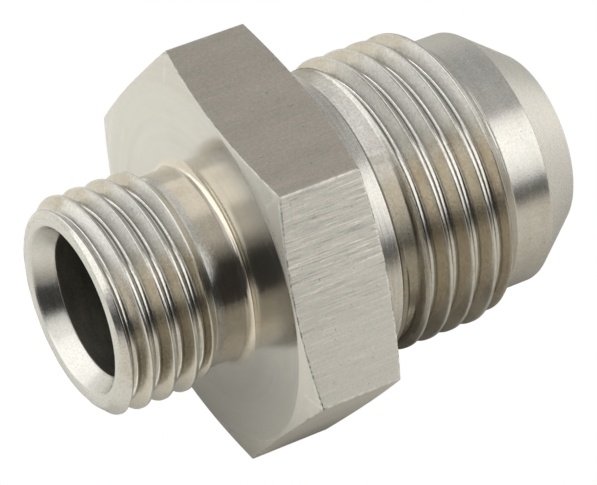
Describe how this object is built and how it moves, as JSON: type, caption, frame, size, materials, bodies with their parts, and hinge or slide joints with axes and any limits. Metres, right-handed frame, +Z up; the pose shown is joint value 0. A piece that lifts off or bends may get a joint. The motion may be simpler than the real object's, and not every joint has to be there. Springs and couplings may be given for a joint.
{
  "type": "hydraulic adapter",
  "caption": "Straight male-to-male hydraulic adapter: hexagonal body, a metric threaded port end with a cone seat, and a threaded flare end with a sealing cone",
  "frame": {"origin": "on the table plane, below the centre of the bounding box", "axes": "the flow axis lies in the X-Z plane and points along +X from the port end to the flare end, sloping down 13.92 degrees as the adapter rests; +Z is up, and the lower flat of the hexagon faces the table; +Y completes the right-handed frame"},
  "size_m": [0.0346, 0.0274, 0.0245],
  "materials": {
    "body_steel": "bright plated steel, turned ends and drawn flats with fine streaks and small nicks"
  },
  "bodies": {
    "root": {"adapter_body": "body_steel"}
  },
  "joints": []
}
